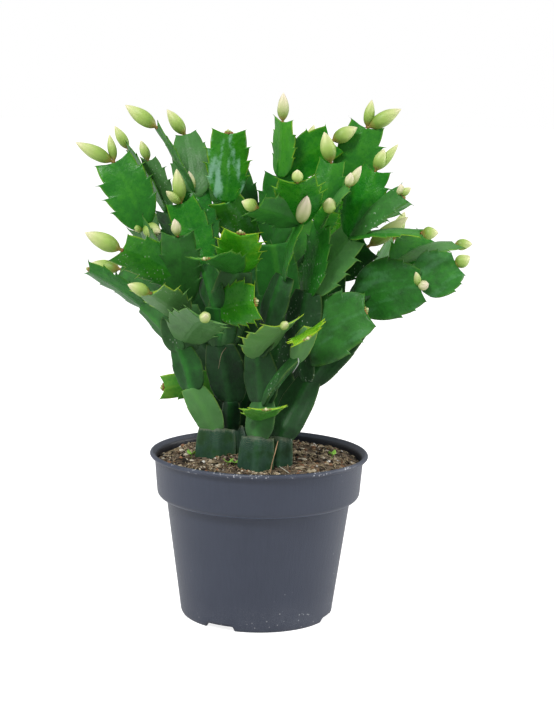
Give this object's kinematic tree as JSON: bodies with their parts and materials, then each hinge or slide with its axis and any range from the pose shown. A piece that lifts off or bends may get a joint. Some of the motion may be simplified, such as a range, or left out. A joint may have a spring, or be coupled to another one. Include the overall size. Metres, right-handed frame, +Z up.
{
  "type": "potted christmas cactus",
  "caption": "Christmas cactus with toothed leaf-like stem segments and closed flower buds, growing in soil in a round plastic nursery pot.",
  "frame": {"origin": "middle of the object's box, on the surface that the pot stands on; the pot's axis is a few millimetres off it", "axes": "+Z up along the pot's axis, -Y towards the viewer of the picture, +X to the viewer's right"},
  "size_m": [0.2354, 0.1628, 0.309],
  "materials": {
    "pot_plastic": "satin moulded polypropylene, blue-grey anthracite",
    "peat": "moist peat with straw fibres and bark crumbs",
    "leaf_green": "smooth waxy succulent skin, darker on old wood, with yellow-green tooth edges and pale buds"
  },
  "bodies": {
    "root": {"pot": "pot_plastic", "soil": "peat", "stem_left": "leaf_green", "stem_middle": "leaf_green", "stem_front": "leaf_green", "stem_right": "leaf_green", "stem_back_left": "leaf_green", "stem_back_right": "leaf_green"}
  },
  "joints": []
}
